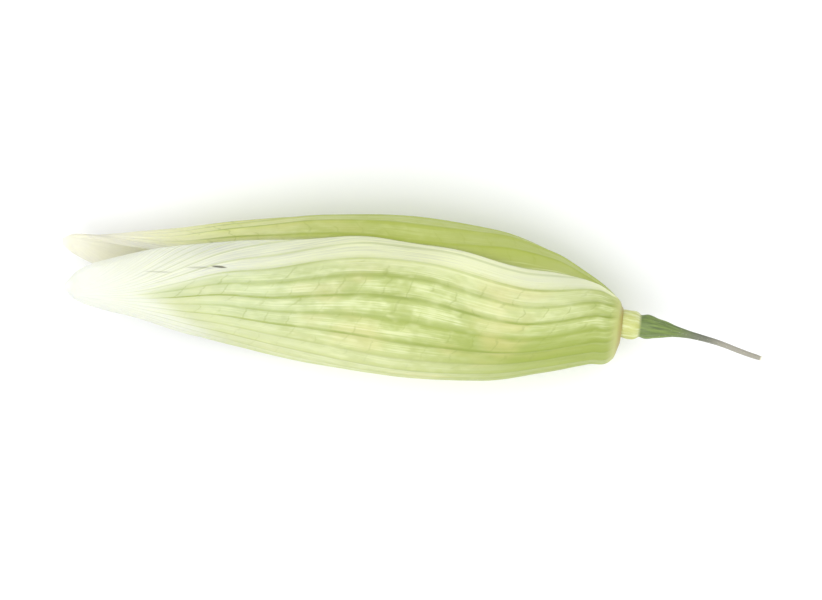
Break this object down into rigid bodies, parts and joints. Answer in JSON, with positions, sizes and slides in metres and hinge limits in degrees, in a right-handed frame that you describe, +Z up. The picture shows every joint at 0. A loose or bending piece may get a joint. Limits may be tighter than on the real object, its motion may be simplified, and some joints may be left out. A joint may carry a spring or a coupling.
{
  "type": "oat spikelet",
  "caption": "Green oat spikelet as picked: two veined papery glumes on a short stalk, gaping slightly round two florets with young grains.",
  "frame": {"origin": "middle of the bounding box's base, on the surface that the spikelet lies on", "axes": "+X runs from the tips of the glumes to the stalk, +Z points up from the flat spot that it rests on, and the glumes gape towards +Y"},
  "size_m": [0.0314, 0.0074, 0.0059],
  "materials": {
    "glume": "satin",
    "far_glume": "satin",
    "lemma": "satin",
    "palea": "matte",
    "grain": "satin",
    "stalk": "matte",
    "axis": "matte"
  },
  "bodies": {
    "root": {"first_glume": "glume", "second_glume": "far_glume", "first_lemma": "lemma", "second_lemma": "lemma", "first_palea": "palea", "second_palea": "palea", "first_grain": "grain", "second_grain": "grain", "pedicel": "stalk", "rachilla": "axis"}
  },
  "joints": []
}
